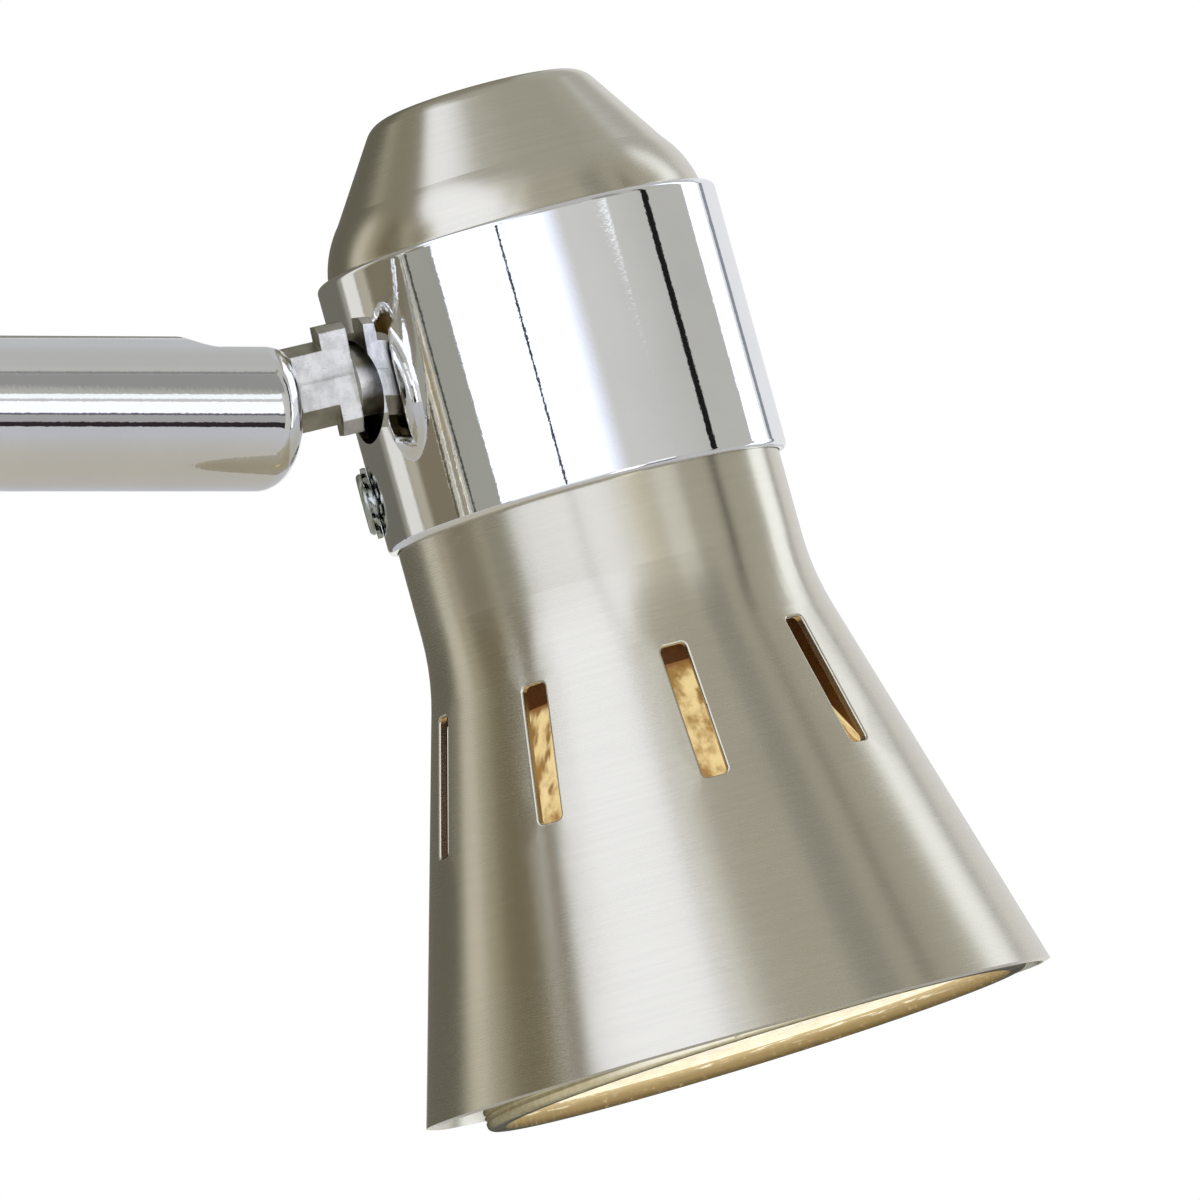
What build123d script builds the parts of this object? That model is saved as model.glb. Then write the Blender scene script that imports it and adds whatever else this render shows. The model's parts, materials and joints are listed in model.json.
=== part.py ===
from build123d import *
import os
from math import cos, hypot, radians, sin

# Two-lamp ceiling track light: a chrome bar on a round ceiling rose, with a tilting and
# swivelling spot head on each end. Millimetres, Z up. The origin is the middle of the rose's
# rim, on the ceiling. The bar runs along X.

# Fits used throughout
press_gap = 0.02
run_gap = 0.05
hole_gap = 0.1  # round a screw or stem that passes through

# Bar tube: closed, rounded ends, with a slot in the top of each end for the knuckle
bar_half = 117.0  # middle of the bar to the tube's end
bar_drop = 58.0  # ceiling to the tube's axis
tube_r = 6.85
tube_wall = 1.0
nose_r = 3.1  # rounding of the closed end
slot_width = 5.3
slot_round_inset = 7.1  # tube's end to the centre of the slot's round back
slot_floor = 4.0  # depth of the slot's floor below the axis
slot_edge = 0.6  # rounding of the slot's outer edge
wire_hole_r = 3.2

# Tilt hinge in the tube's end
pivot_inset = 6.6  # tube's end to the hinge pin
insert_r = 5.8
insert_back = 22.0  # tube's end to the insert's back
insert_front = 4.2  # tube's end to the insert's front
eye_room = 0.3  # between the knuckle's eye and the back of the insert's slot
pin_r = 1.2
pin_length = 10.6
pin_chamfer = 0.3
core_r = 0.55  # one insulated core
core_spread = 2.0  # cores run this far above and below the pin
core_hole_r = 0.65
core_cut = 0.5  # the bar's cores end this far from the eye

# Rest pose of a head
tilt_rest = 12.7  # knuckle above level
swivel_rest = 10.0  # mouth turned towards the front
lamp_lean = 1.6  # lamp hangs a little out of line with the shade

# Knuckle: eye, eight-sided neck, shoulder plate, spigot through the band, journal in the bracket
arm = 31.75  # hinge pin to the head's axis
eye_r = 3.8
neck_start = 1.0  # the neck begins this far from the pin
neck_rise = 1.0  # the neck's middle lies above the line from pin to head
neck_thick = 4.7
face_half = 2.5  # half the height of the neck's flat sides
top_bevel_depth = 1.7
top_bevel_height = 0.75
under_bevel_depth = 1.0
under_bevel_height = 1.8
seam_width = 0.14  # casting seam along the neck's front
seam_proud = 0.05
seam_start = 4.2
shoulder_start = 10.05  # upper part, from the hinge pin
shoulder_under_start = 10.7  # lower part
shoulder_end = 12.65
shoulder_thick = 1.8
shoulder_top = 5.6
shoulder_bottom = -4.35
shoulder_bevel = 0.6
shoulder_under_bevel = 1.3
spigot_r = 3.2
journal_r = 3.0
journal_past = 2.0  # the journal reaches this far through the bracket
lead_inset = 1.0  # the knuckle's cores start inside the eye
friction_r = 3.4
friction_thick = 0.24
swivel_washer_r = 4.7
push_nut_r = 4.5
push_nut_chamfer = 0.25
ring_thick = 0.6  # swivel washer and push nut

# Head, measured from its axis and from the neck's level
sheet = 0.7
band_r = 18.35
band_top = 9.4
band_bottom = -15.3
band_edge = 0.55  # rounding of the band's outer edges
neck_hole_r = 4.7  # where the knuckle goes through the band
neck_hole_drop = 1.0  # the hole's centre is a little below the neck's level
cap_top = 22.36
cap_flat_r = 9.7
cap_round = 2.6
cap_crease = (15.05, 14.3)  # radius and height where the cone meets the rounded shoulder
cap_shoulder = (16.45, 12.1)
cap_edge = (17.2, 9.6)
cap_skirt_r = 17.6
cap_skirt_top = 8.4
cap_skirt_bottom = 5.9
shade_neck_r = 17.55
shade_neck_top = -7.0
shade_bend = -26.5  # where neck and cone would meet
shade_bend_r = 24.0
shade_mouth = -65.3
shade_mouth_r = 28.7
vent_count = 9
vent_width = 2.3
vent_top = -30.8
vent_bottom = -43.0
vent_corner = 0.5
vent_edge = 0.2  # rounding of the outer edge

# Screw with toothed washer, below the knuckle
screw_turn = 19.5  # degrees round from the knuckle
screw_z = -10.3
screw_r = 1.5
screw_length = 4.6
screw_room = 3.0  # how far the hole for the screw is cut through band and shade
screw_head_r = 2.8
screw_head_high = 0.5
screw_head_side = 0.2  # height of the head's upright side
screw_flat_r = 2.4  # flat top of the head
head_seat = 0.6  # the washer's twisted teeth hold the head this far off the band
cross_length = 3.0
cross_width = 0.7
cross_depth = 0.4
tooth_count = 10
tooth_ring_r = 2.3
tooth_circle = 2.65
tooth_size = (1.2, 0.85, 0.35)
tooth_twist = 28.0

# Bracket inside the band
plate_x = 15.6  # outer face of the upright plate
plate_thick = 1.2
plate_half_width = 5.8
plate_top = 6.5
plate_bottom = -13.2
plate_corner = 1.5
shelf_z = -6.5  # underside of the shelf
shelf_end = 10.0
shelf_screw_x = 8.0
shelf_hole_r = 2.4  # lets the cores through

# Lampholder, measured down from the shelf along the lamp's own axis
holder_r = 13.0
holder_height = 13.3
holder_edge = 0.8
holder_face = 3.1
chamber_height = 3.6
shaft_room = 0.2
head_room = 0.3
holder_core_r = 2.6
holder_core_depth = 2.0
contact_size = (2.2, 3.4)
contact_thick = 0.5
holder_screw_head_r = 2.6
holder_screw_head_high = 1.8
holder_screw_round = 0.7
holder_screw_reach = 3.6  # below the shelf
holder_screw_hole = 4.0
driver_slot = (3.6, 0.7)
driver_slot_depth = 0.8

# Cores in the head: sideways spread at the lampholder and bend of the upper and lower core
head_core_x = 0.9
head_core_bends = (5.0, 2.4)
head_core_start = 0.1  # gap to the knuckle's cores
head_core_depth = 1.5  # into the lampholder

# Lamp
lamp_out = 1.6  # the lamp stands this far out of the mouth
lamp_length = 46.8  # front to the base's back, without pins
lamp_r = 25.0
lamp_rim = 3.2
lamp_rim_edge = 0.5
bowl_depth = 35.1
bowl_back_r = 11.5
bowl_neck_r = 8.5
bowl_mid_r = 21.2  # a point on the bowl's outer curve
bowl_mid_depth = 15.0
bowl_mid_drop = 0.9  # the same point on the inner curve is a little nearer the front
glass_wall = 1.4
front_glass_r = 23.5
front_glass_thick = 1.8
front_glass_inset = 0.6
front_glass_edge = 0.4
base_r = 11.4
base_edge = 1.2
pin_spacing = 10.0
pin_shaft_r = 1.6
pin_shaft_length = 3.6
pin_head_r = 2.5
pin_head_length = 2.7
pin_head_edge = 0.4
twist = 22.0  # degrees from locked to free
capsule_r = 4.2
capsule_tip = 12.0  # behind the lamp's front
capsule_shoulder = 22.0
capsule_neck = 25.0
capsule_neck_r = 3.0

# Ceiling rose, strap and stem
rose_r = 40.0
rose_depth = 24.0
rose_round = 11.0
rose_wall = 0.8
stud_x = 16.0
stud_r = 2.0
stud_past = 4.0  # below the rose
nut_r = 3.5  # across flats, halved
nut_high = 3.0
nut_dome_r = 3.2
nut_bore = 4.3
stem_r = 5.0
stem_bore = 3.5
stem_top = -17.0
stem_tube_gap = 0.6
stem_nut_r = 7.0
stem_nut_high = 4.0
sleeve_r = 6.85
sleeve_bottom = -44.0
collar_r = 9.6
collar_half = 10.0
collar_edge = 1.2
grub_length = 2.5
grub_key_r = 1.0
grub_key_depth = 1.5
strap_thick = 1.5
strap_half = 35.0
strap_half_width = 9.0
strap_corner = 3.0
ceiling_slot_x = 28.0
ceiling_slot_r = 2.25
ceiling_slot_length = 12.0
ear_end = 25.0
ear_corner = 2.0

# Wiring in the rose
terminal_half = 11.0
terminal_front = 11.0
terminal_bottom = -13.5
terminal_edge = 1.0
clamp_x = 6.6
clamp_rows = (14.0, 22.0)
clamp_hole_r = 1.7
clamp_hole_depth = 3.0
clamp_screw_r = 1.5
clamp_screw_inset = 1.0
clamp_slot = (2.4, 0.5)
clamp_slot_depth = 0.7
entry_size = (8.0, 2.6)
entry_depth = 2.0
core_level = -9.0  # height at which the cores enter the terminal block
core_entry = 1.0
core_drops = ((2.2, core_spread, 3.5), (0.8, -core_spread, 4.5))  # sideways, level, bend
earth_x = -9.0
earth_r = 1.96
earth_head_r = 3.6
earth_head_high = 2.6
earth_round = 0.9
earth_cross = (5.0, 0.8)
earth_cross_depth = 1.1

nose = bar_half - nose_r
pivot_x = bar_half - pivot_inset
journal_end = arm - plate_x + plate_thick + journal_past
washer_start = arm - plate_x + plate_thick + run_gap
front = shade_mouth - lamp_out - shelf_z
base_back = front + lamp_length
tube_top = tube_r - bar_drop

# Frames: the right-hand pieces are turned half round the stem for the left-hand ones
bar_frame = Location((0, 0, -bar_drop))
half_turn = Location((0, 0, 0), (0, 0, 180))
knuckle_frame = bar_frame * Location((pivot_x, 0, 0), (0, -tilt_rest, 0))
head_frame = knuckle_frame * Location((arm, 0, 0), (-swivel_rest, 0, 0))
lamp_frame = head_frame * Location((0, 0, shelf_z), (0, -lamp_lean, 0))
sides = {"right": Location(), "left": half_turn}

os.makedirs("parts", exist_ok=True)


def write(piece, name, frame=Location()):
    """Label a finished piece, put it in its place and save it."""
    placed = piece.part.moved(frame)
    placed.label = name
    export_step(placed, f"parts/{name}.step")


def write_both(piece, name, frame):
    """Save a right-hand piece and its left-hand twin."""
    for side, turn in sides.items():
        write(piece, f"{side}_{name}", turn * frame)


def radial_plane(angle, height, distance):
    """Plane whose normal points out from the head's axis at this angle and height."""
    out = Vector(cos(radians(angle)), sin(radians(angle)), 0)
    return Plane(out * distance + Vector(0, 0, height), Vector(-out.Y, out.X, 0), out)


def off_skin(point):
    """Distance of a point from the outside of the tube's right half."""
    radius = hypot(point.Y, point.Z)
    if point.X <= nose:
        return abs(radius - tube_r)
    return abs(hypot(point.X - nose, radius - tube_r + nose_r) - nose_r)


def on_slot_rim(edge):
    """True for an edge of the right-hand slot that lies on the tube's outside."""
    middle = edge @ 0.5
    in_slot = (middle.X > bar_half - slot_round_inset - slot_width / 2
               and abs(middle.Y) < slot_width / 2 + run_gap
               and middle.Z > -slot_floor - run_gap)
    return in_slot and all(off_skin(edge @ t) < press_gap for t in (0, 0.5, 1))


def on_vent_rim(edge):
    """True for an edge of a vent that lies on the outside of the shade's cone."""
    flare = (shade_mouth_r - shade_neck_r) / (shade_bend - shade_mouth)

    def off_cone(point):
        return abs(hypot(point.X, point.Y) - shade_neck_r - flare * (shade_bend - point.Z))

    in_vent = vent_bottom - run_gap < (edge @ 0.5).Z < vent_top + run_gap
    return in_vent and all(off_cone(edge @ t) < press_gap for t in (0, 0.5, 1))


screw_plane = radial_plane(180 - screw_turn, screw_z, band_r)

# Bar tube, right half first and then mirrored
with BuildPart() as bar_tube:
    with BuildSketch(Plane.XZ):
        with BuildLine():
            Polyline((0, tube_r - tube_wall), (0, tube_r), (nose, tube_r))
            RadiusArc((nose, tube_r), (bar_half, tube_r - nose_r), nose_r)
            Polyline((bar_half, tube_r - nose_r), (bar_half, 0), (bar_half - tube_wall, 0),
                     (bar_half - tube_wall, tube_r - nose_r))
            RadiusArc((bar_half - tube_wall, tube_r - nose_r), (nose, tube_r - tube_wall),
                      -(nose_r - tube_wall))
            Line((nose, tube_r - tube_wall), (0, tube_r - tube_wall))
        make_face()
    revolve(axis=Axis.X)
    with BuildSketch(Plane.XY.offset(-slot_floor)):
        with Locations((bar_half - slot_round_inset, 0)):
            Circle(slot_width / 2)
            Rectangle(2 * slot_round_inset, slot_width, align=(Align.MIN, Align.CENTER))
    extrude(amount=3 * tube_r, mode=Mode.SUBTRACT)
    fillet(bar_tube.edges().filter_by(on_slot_rim), slot_edge)
    mirror(about=Plane.YZ)
    with BuildSketch():
        Circle(wire_hole_r)
    extrude(amount=2 * tube_r, mode=Mode.SUBTRACT)
write(bar_tube, "bar_tube", bar_frame)

# Clevis plug that carries the hinge inside the tube's end
with BuildPart() as hinge_insert:
    with BuildSketch(Plane.YZ.offset(bar_half - insert_back)):
        Circle(insert_r)
    extrude(amount=insert_back - insert_front)
    with BuildSketch(Plane.XY.offset(-slot_floor)):
        with Locations((pivot_x - eye_r - eye_room, 0)):
            Rectangle(insert_back, slot_width, align=(Align.MIN, Align.CENTER))
    extrude(amount=2 * tube_r, mode=Mode.SUBTRACT)
    with BuildSketch(Plane.XZ):
        with Locations((pivot_x, 0)):
            Circle(pin_r + press_gap)
    extrude(amount=tube_r, both=True, mode=Mode.SUBTRACT)
    with BuildSketch(Plane.YZ.offset(bar_half - insert_back)):
        with Locations((0, core_spread), (0, -core_spread)):
            Circle(core_hole_r)
    extrude(amount=insert_back, mode=Mode.SUBTRACT)
write_both(hinge_insert, "hinge_insert", bar_frame)

with BuildPart() as hinge_pin:
    with BuildSketch(Plane.XZ):
        with Locations((pivot_x, 0)):
            Circle(pin_r)
    extrude(amount=pin_length / 2, both=True)
    chamfer(hinge_pin.edges().filter_by(GeomType.CIRCLE), pin_chamfer)
write_both(hinge_pin, "hinge_pin", bar_frame)

# Knuckle, with the hinge pin as its origin and X along the neck
neck_side = neck_thick / 2
with BuildPart() as knuckle:
    with BuildSketch(Plane.XZ):
        Circle(eye_r)
    extrude(amount=neck_side, both=True)
    with BuildSketch(Plane.YZ.offset(neck_start)):
        with BuildLine():
            face_top = neck_rise + face_half
            face_bottom = neck_rise - face_half
            Polyline((0, face_bottom - under_bevel_height),
                     (neck_side - under_bevel_depth, face_bottom - under_bevel_height),
                     (neck_side, face_bottom), (neck_side, face_top),
                     (neck_side - top_bevel_depth, face_top + top_bevel_height),
                     (0, face_top + top_bevel_height))
            mirror(about=Plane.YZ)
        make_face()
    extrude(amount=shoulder_end - neck_start)
    plate_back = shoulder_thick - neck_side
    with BuildSketch(Plane.YZ.offset(shoulder_start)):
        with BuildLine():
            Polyline((plate_back, 0), (plate_back, shoulder_top),
                     (shoulder_bevel - neck_side, shoulder_top),
                     (-neck_side, shoulder_top - shoulder_bevel), (-neck_side, 0), close=True)
        make_face()
    extrude(amount=shoulder_end - shoulder_start)
    with BuildSketch(Plane.YZ.offset(shoulder_under_start)):
        with BuildLine():
            Polyline((plate_back, 0), (plate_back, shoulder_bottom),
                     (shoulder_bevel - neck_side, shoulder_bottom),
                     (-neck_side, shoulder_bottom + shoulder_under_bevel), (-neck_side, 0),
                     close=True)
        make_face()
    extrude(amount=shoulder_end - shoulder_under_start)
    with BuildSketch(Plane.XZ.offset(neck_side)):
        with Locations((seam_start, neck_rise)):
            Rectangle(shoulder_end - seam_start, seam_width, align=(Align.MIN, Align.CENTER))
    extrude(amount=seam_proud)
    with BuildSketch(Plane.YZ.offset(shoulder_end)):
        Circle(spigot_r)
    extrude(amount=arm - plate_x - run_gap - shoulder_end)
    with BuildSketch(Plane.YZ.offset(shoulder_end)):
        Circle(journal_r)
    extrude(amount=journal_end - shoulder_end)
    with BuildSketch(Plane.XZ):
        Circle(pin_r + run_gap)
    extrude(amount=neck_thick, both=True, mode=Mode.SUBTRACT)
    with BuildSketch(Plane.YZ.offset(-arm)):
        with Locations((0, core_spread), (0, -core_spread)):
            Circle(core_hole_r)
    extrude(amount=2 * arm, mode=Mode.SUBTRACT)
write_both(knuckle, "knuckle", knuckle_frame)

with BuildPart() as knuckle_leads:
    with BuildSketch(Plane.YZ.offset(lead_inset - eye_r)):
        with Locations((0, core_spread), (0, -core_spread)):
            Circle(core_r)
    extrude(amount=journal_end + eye_r - lead_inset)
write_both(knuckle_leads, "knuckle_leads", knuckle_frame)

# One thin friction washer on each side of the eye
with BuildPart() as hinge_washers:
    for face in (neck_side + press_gap, -neck_side - press_gap - friction_thick):
        with BuildSketch(Plane.XZ.offset(face)):
            Circle(friction_r)
            Circle(pin_r + 2 * run_gap, mode=Mode.SUBTRACT)
        extrude(amount=friction_thick)
write_both(hinge_washers, "hinge_washers", knuckle_frame)

# Washer and push nut that hold the journal in the bracket
with BuildPart() as swivel_washer:
    with BuildSketch(Plane.YZ.offset(washer_start)):
        Circle(swivel_washer_r)
        Circle(journal_r + run_gap, mode=Mode.SUBTRACT)
    extrude(amount=ring_thick)
write_both(swivel_washer, "swivel_washer", knuckle_frame)

with BuildPart() as swivel_push_nut:
    with BuildSketch(Plane.YZ.offset(washer_start + ring_thick + run_gap)):
        Circle(push_nut_r)
        Circle(journal_r + press_gap, mode=Mode.SUBTRACT)
    extrude(amount=ring_thick)
    chamfer(swivel_push_nut.edges().sort_by(Axis.X)[-1], push_nut_chamfer)
write_both(swivel_push_nut, "swivel_push_nut", knuckle_frame)

# Band: a sleeve with holes for the knuckle and the screw
with BuildPart() as band:
    with BuildSketch(Plane.XY.offset(band_bottom)):
        Circle(band_r)
    extrude(amount=band_top - band_bottom)
    fillet(band.edges().filter_by(GeomType.CIRCLE), band_edge)
    with BuildSketch(Plane.XY.offset(band_bottom)):
        Circle(band_r - sheet)
    extrude(amount=band_top - band_bottom, mode=Mode.SUBTRACT)
    with BuildSketch(Plane.YZ):
        with Locations((0, -neck_hole_drop)):
            Circle(neck_hole_r)
    extrude(amount=-2 * band_r, mode=Mode.SUBTRACT)
    with BuildSketch(screw_plane):
        Circle(screw_r + hole_gap)
    extrude(amount=-screw_room, mode=Mode.SUBTRACT)
write_both(band, "band", head_frame)

# Cap: flat top, cone, soft crease, rounded shoulder, skirt inside the band
with BuildPart() as cap:
    with BuildSketch(Plane.XZ):
        with BuildLine():
            FilletPolyline((0, cap_top), (cap_flat_r, cap_top), cap_crease, radius=cap_round)
            ThreePointArc(cap_crease, cap_shoulder, cap_edge)
            Polyline(cap_edge, (cap_skirt_r, cap_skirt_top), (cap_skirt_r, cap_skirt_bottom))
            offset(amount=sheet, side=Side.RIGHT)
        make_face()
    revolve(axis=Axis.Z)
write_both(cap, "cap", head_frame)

# Shade: straight neck, soft bend, cone, nine vents
with BuildPart() as shade:
    with BuildSketch(Plane.XZ):
        with BuildLine():
            FilletPolyline((shade_neck_r, shade_neck_top), (shade_neck_r, shade_bend),
                           (shade_mouth_r, shade_mouth), radius=shade_bend_r)
            offset(amount=sheet, side=Side.RIGHT)
        make_face()
    revolve(axis=Axis.Z)
    for vent in range(vent_count):
        turn = 180 + 360 * vent / vent_count
        with BuildSketch(radial_plane(turn, (vent_top + vent_bottom) / 2, holder_r)):
            RectangleRounded(vent_width, vent_top - vent_bottom, vent_corner)
        extrude(amount=shade_mouth_r, mode=Mode.SUBTRACT)
    fillet(shade.edges().filter_by(on_vent_rim), vent_edge)
    with BuildSketch(screw_plane):
        Circle(screw_r + hole_gap)
    extrude(amount=-screw_room, mode=Mode.SUBTRACT)
write_both(shade, "shade", head_frame)

# Toothed washer and flat-topped screw, outward along Z
with BuildPart() as lock_washer:
    with BuildSketch():
        Circle(tooth_ring_r)
        Circle(screw_r + hole_gap, mode=Mode.SUBTRACT)
    extrude(amount=tooth_size[2])
    with PolarLocations(tooth_circle, tooth_count):
        Box(*tooth_size, rotation=(tooth_twist, 0, 0),
            align=(Align.CENTER, Align.CENTER, Align.MIN))
    with BuildSketch():
        Circle(2 * screw_head_r)
    extrude(amount=-sheet, mode=Mode.SUBTRACT)
washer_seat = Location(screw_plane) * Location((0, 0, run_gap))
write_both(lock_washer, "lock_washer", head_frame * washer_seat)

head_top = head_seat + screw_head_high
with BuildPart() as band_screw:
    with BuildSketch(Plane.XZ):
        with BuildLine():
            side_top = head_seat + screw_head_side
            Polyline((0, head_top), (0, -screw_length), (screw_r, -screw_length),
                     (screw_r, head_seat), (screw_head_r, head_seat), (screw_head_r, side_top))
            RadiusArc((screw_head_r, side_top), (screw_flat_r, head_top), screw_flat_r - screw_head_r)
            Line((screw_flat_r, head_top), (0, head_top))
        make_face()
    revolve(axis=Axis.Z)
    with BuildSketch(Plane.XY.offset(head_top)):
        Rectangle(cross_length, cross_width)
        Rectangle(cross_width, cross_length)
    extrude(amount=-cross_depth, mode=Mode.SUBTRACT)
write_both(band_screw, "band_screw", head_frame * Location(screw_plane))

# Bracket: upright plate for journal and screw, shelf for the lampholder
shelf_screws = ((shelf_screw_x, 0), (-shelf_screw_x, 0))
with BuildPart() as holder_bracket:
    with BuildSketch(Plane.YZ.offset(-plate_x)):
        with Locations((0, (plate_top + plate_bottom) / 2)):
            RectangleRounded(2 * plate_half_width, plate_top - plate_bottom, plate_corner)
    extrude(amount=plate_thick)
    with BuildSketch(Plane(Location((0, 0, shelf_z), (0, -lamp_lean, 0)))):
        with Locations(((shelf_end - plate_x) / 2 + plate_thick / 4, 0)):
            Rectangle(shelf_end + plate_x - plate_thick / 2, 2 * plate_half_width)
        Circle(shelf_hole_r, mode=Mode.SUBTRACT)
        with Locations(*shelf_screws):
            Circle(screw_r + press_gap, mode=Mode.SUBTRACT)
    extrude(amount=plate_thick)
    with BuildSketch(Plane.YZ.offset(-plate_x)):
        Circle(journal_r + run_gap)
    extrude(amount=plate_thick, mode=Mode.SUBTRACT)
    with BuildSketch(screw_plane):
        Circle(screw_r + press_gap)
    extrude(amount=-2 * screw_length, mode=Mode.SUBTRACT)
write_both(holder_bracket, "holder_bracket", head_frame)

# Lampholder: face with two curved key slots, and a chamber behind each for the pin's head
with BuildPart() as lampholder:
    with BuildSketch(Plane.XY.offset(-holder_height)):
        Circle(holder_r)
    extrude(amount=holder_height)
    fillet(lampholder.edges().filter_by(GeomType.CIRCLE), holder_edge)
    for start in (0, 180):
        path = CenterArc((0, 0), pin_spacing / 2, start, twist, mode=Mode.PRIVATE)
        with BuildSketch(Plane.XY.offset(-holder_height)):
            SlotArc(path, 2 * (pin_shaft_r + shaft_room))
            with PolarLocations(pin_spacing / 2, 1, start + twist):
                Circle(pin_head_r + head_room)
        extrude(amount=holder_face, mode=Mode.SUBTRACT)
        with BuildSketch(Plane.XY.offset(-holder_height + holder_face)):
            SlotArc(path, 2 * (pin_head_r + head_room))
        extrude(amount=chamber_height, mode=Mode.SUBTRACT)
    with BuildSketch():
        with Locations(*shelf_screws):
            Circle(screw_r + press_gap)
    extrude(amount=-holder_screw_hole, mode=Mode.SUBTRACT)
    with BuildSketch():
        Circle(holder_core_r)
    extrude(amount=-holder_core_depth, mode=Mode.SUBTRACT)
write_both(lampholder, "lampholder", lamp_frame)

# Spring contacts on the roof of each chamber
with BuildPart() as holder_contacts:
    with BuildSketch(Plane.XY.offset(-holder_height + holder_face + chamber_height)):
        with PolarLocations(pin_spacing / 2, 2, twist / 2):
            Rectangle(*contact_size)
    extrude(amount=-contact_thick)
write_both(holder_contacts, "holder_contacts", lamp_frame)

with BuildPart() as holder_screws:
    with BuildSketch(Plane.XY.offset(plate_thick)):
        with Locations(*shelf_screws):
            Circle(holder_screw_head_r)
    extrude(amount=holder_screw_head_high)
    fillet(holder_screws.edges().group_by(Axis.Z)[-1], holder_screw_round)
    with BuildSketch(Plane.XY.offset(plate_thick)):
        with Locations(*shelf_screws):
            Circle(screw_r)
    extrude(amount=-plate_thick - holder_screw_reach)
    with BuildSketch(Plane.XY.offset(plate_thick + holder_screw_head_high)):
        with Locations(*shelf_screws):
            Rectangle(*driver_slot)
    extrude(amount=-driver_slot_depth, mode=Mode.SUBTRACT)
write_both(holder_screws, "holder_screws", lamp_frame)

# Cores from the journal's end to the lampholder
with BuildPart() as head_leads:
    for way, bend in zip((1, -1), head_core_bends):
        with BuildLine() as route:
            FilletPolyline((journal_end - arm + head_core_start, 0, way * core_spread),
                           (way * head_core_x, 0, way * core_spread),
                           (way * head_core_x, 0, shelf_z - head_core_depth), radius=bend)
        with BuildSketch(Plane(route.line @ 0, z_dir=route.line % 0)):
            Circle(core_r)
        sweep(path=route.line)
write_both(head_leads, "head_leads", head_frame)

# Lamp: glass bowl, front glass, ceramic base, two headed pins, capsule
rim_back = front + lamp_rim
bowl_back = front + bowl_depth
bowl_mid = front + bowl_mid_depth
with BuildPart() as lamp_reflector:
    with BuildSketch(Plane.XZ):
        with BuildLine():
            Line((lamp_r, front), (lamp_r, rim_back))
            ThreePointArc((lamp_r, rim_back), (bowl_mid_r, bowl_mid), (bowl_back_r, bowl_back))
            Line((bowl_back_r, bowl_back), (bowl_neck_r, bowl_back))
            ThreePointArc((bowl_neck_r, bowl_back),
                          (bowl_mid_r - glass_wall, bowl_mid - bowl_mid_drop),
                          (lamp_r - glass_wall, rim_back))
            Polyline((lamp_r - glass_wall, rim_back), (lamp_r - glass_wall, front),
                     (lamp_r, front))
        make_face()
    revolve(axis=Axis.Z)
    fillet(lamp_reflector.edges().group_by(Axis.Z)[0], lamp_rim_edge)
write_both(lamp_reflector, "lamp_reflector", lamp_frame)

with BuildPart() as lamp_front_glass:
    with BuildSketch(Plane.XY.offset(front + front_glass_inset)):
        Circle(front_glass_r)
    extrude(amount=front_glass_thick)
    fillet(lamp_front_glass.edges().group_by(Axis.Z)[0], front_glass_edge)
write_both(lamp_front_glass, "lamp_front_glass", lamp_frame)

with BuildPart() as lamp_base:
    with BuildSketch(Plane.XY.offset(bowl_back)):
        Circle(base_r)
    extrude(amount=base_back - bowl_back)
    fillet(lamp_base.edges().group_by(Axis.Z)[-1], base_edge)
write_both(lamp_base, "lamp_base", lamp_frame)

with BuildPart() as lamp_pins:
    for radius, start, length in ((pin_shaft_r, 0.0, pin_shaft_length),
                                  (pin_head_r, pin_shaft_length, pin_head_length)):
        with BuildSketch(Plane.XY.offset(base_back + start)):
            with PolarLocations(pin_spacing / 2, 2):
                Circle(radius)
        extrude(amount=length)
    fillet(lamp_pins.edges().group_by(Axis.Z)[-1], pin_head_edge)
write_both(lamp_pins, "lamp_pins", lamp_frame)

with BuildPart() as lamp_capsule:
    with BuildSketch(Plane.XZ):
        with BuildLine():
            dome = front + capsule_tip + capsule_r
            Polyline((0, bowl_back), (capsule_neck_r, bowl_back),
                     (capsule_neck_r, front + capsule_neck),
                     (capsule_r, front + capsule_shoulder), (capsule_r, dome))
            RadiusArc((capsule_r, dome), (0, front + capsule_tip), capsule_r)
            Line((0, front + capsule_tip), (0, bowl_back))
        make_face()
    revolve(axis=Axis.Z)
write_both(lamp_capsule, "lamp_capsule", lamp_frame)

# Ceiling rose: a shallow cup, open towards the ceiling
studs = ((stud_x, 0), (-stud_x, 0))
with BuildPart() as canopy:
    with BuildSketch(Plane.XZ):
        with BuildLine():
            FilletPolyline((0, -rose_depth), (rose_r, -rose_depth), (rose_r, 0),
                           radius=rose_round)
            offset(amount=rose_wall, side=Side.LEFT)
        make_face()
    revolve(axis=Axis.Z)
    with BuildSketch(Plane.XY.offset(-rose_depth)):
        Circle(stem_r + hole_gap)
        with Locations(*studs):
            Circle(stud_r + 2 * hole_gap)
    extrude(amount=rose_wall, mode=Mode.SUBTRACT)
write(canopy, "canopy")

# Strap on the ceiling, with an ear for the terminal block
with BuildPart() as ceiling_bracket:
    with BuildSketch():
        RectangleRounded(2 * strap_half, 2 * strap_half_width, strap_corner)
        with Locations((0, ear_end / 2)):
            RectangleRounded(2 * strap_half_width, ear_end, ear_corner)
        with Locations((ceiling_slot_x, 0), (-ceiling_slot_x, 0)):
            SlotOverall(ceiling_slot_length, 2 * ceiling_slot_r, mode=Mode.SUBTRACT)
        Circle(stem_r, mode=Mode.SUBTRACT)
        with Locations((earth_x, 0)):
            Circle(earth_r + press_gap, mode=Mode.SUBTRACT)
    extrude(amount=-strap_thick)
write(ceiling_bracket, "ceiling_bracket")

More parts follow.
